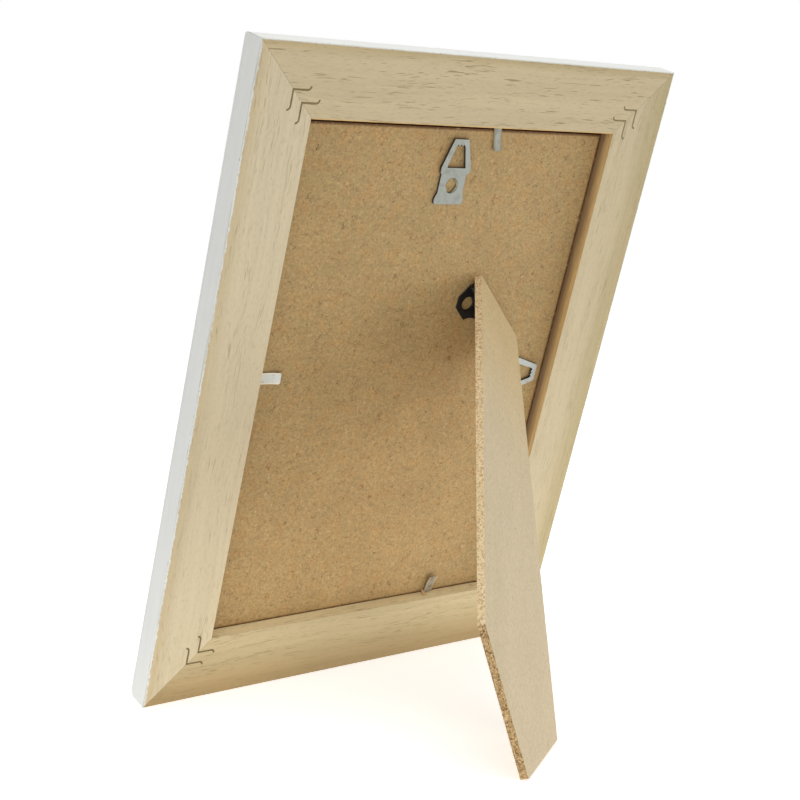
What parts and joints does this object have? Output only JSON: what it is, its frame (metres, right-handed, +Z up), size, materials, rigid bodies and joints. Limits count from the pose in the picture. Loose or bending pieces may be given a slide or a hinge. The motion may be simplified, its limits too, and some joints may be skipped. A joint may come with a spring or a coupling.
{
  "type": "easel back photo frame",
  "caption": "Easel back photo frame: mitred wooden rails round a glazed opening, fibreboard back under bending tabs, sawtooth hangers and a diagonally hinged leg.",
  "frame": {"origin": "on the floor, at the centre of the box round the frame standing on its opened leg", "axes": "+Z up; the picture side faces -Y and the leg stands towards +Y; seen from behind, the frame's right is -X"},
  "size_m": [0.1742, 0.1353, 0.2176],
  "materials": {
    "rail_wood": "raw sawn wood behind, matt white paint on the sides and front",
    "fibreboard": "brown fibreboard, smooth and speckled",
    "pale_fibreboard": "pale fibreboard with rough sawn edges",
    "zinc_steel": "dull zinc plating",
    "nail_steel": "dull brownish steel",
    "black_steel": "black lacquer",
    "clear_glass": "clear float glass",
    "blank_paper": "matt blank paper"
  },
  "bodies": {
    "frame": {"top_rail": "rail_wood", "bottom_rail": "rail_wood", "left_rail": "rail_wood", "right_rail": "rail_wood", "top_left_outer_nail": "nail_steel", "top_left_inner_nail": "nail_steel", "top_right_outer_nail": "nail_steel", "top_right_inner_nail": "nail_steel", "bottom_right_outer_nail": "nail_steel", "bottom_right_inner_nail": "nail_steel", "bottom_left_outer_nail": "nail_steel", "bottom_left_inner_nail": "nail_steel", "top_tab_root": "zinc_steel", "bottom_tab_root": "zinc_steel", "left_tab_root": "zinc_steel", "right_tab_root": "zinc_steel", "glass_pane": "clear_glass", "photo_insert": "blank_paper", "backing_board": "fibreboard", "top_hanger": "zinc_steel", "side_hanger": "zinc_steel", "hinge_board_leaf": "black_steel", "hinge_pin": "black_steel"},
    "leg": {"easel_leg": "pale_fibreboard", "hinge_leg_leaf": "black_steel"},
    "top_tab": {"top_tab": "zinc_steel"},
    "bottom_tab": {"bottom_tab": "zinc_steel"},
    "left_tab": {"left_tab": "zinc_steel"},
    "right_tab": {"right_tab": "zinc_steel"}
  },
  "joints": [
    {"name": "leg_fold", "type": "hinge", "parent": "frame", "child": "leg", "pos_m": [-0.0303, -0.02057, 0.13007], "axis": [-0.7071, -0.2055, -0.6766], "range_deg": [0, 45]},
    {"name": "top_tab_bend", "type": "hinge", "parent": "frame", "child": "top_tab", "pos_m": [-0.0166, -0.00156, 0.19516], "axis": [1, 0, 0], "range_deg": [0, 85]},
    {"name": "left_tab_bend", "type": "hinge", "parent": "frame", "child": "left_tab", "pos_m": [0.0645, -0.02696, 0.11153], "axis": [0, -0.2907, -0.9568], "range_deg": [0, 85]},
    {"name": "right_tab_bend", "type": "hinge", "parent": "frame", "child": "right_tab", "pos_m": [-0.0645, -0.04284, 0.05929], "axis": [0, 0.2907, 0.9568], "range_deg": [0, 85]},
    {"name": "bottom_tab_bend", "type": "hinge", "parent": "frame", "child": "bottom_tab", "pos_m": [-0.0334, -0.05388, 0.02293], "axis": [-1, 0, 0], "range_deg": [-9.5, 75.5]}
  ]
}
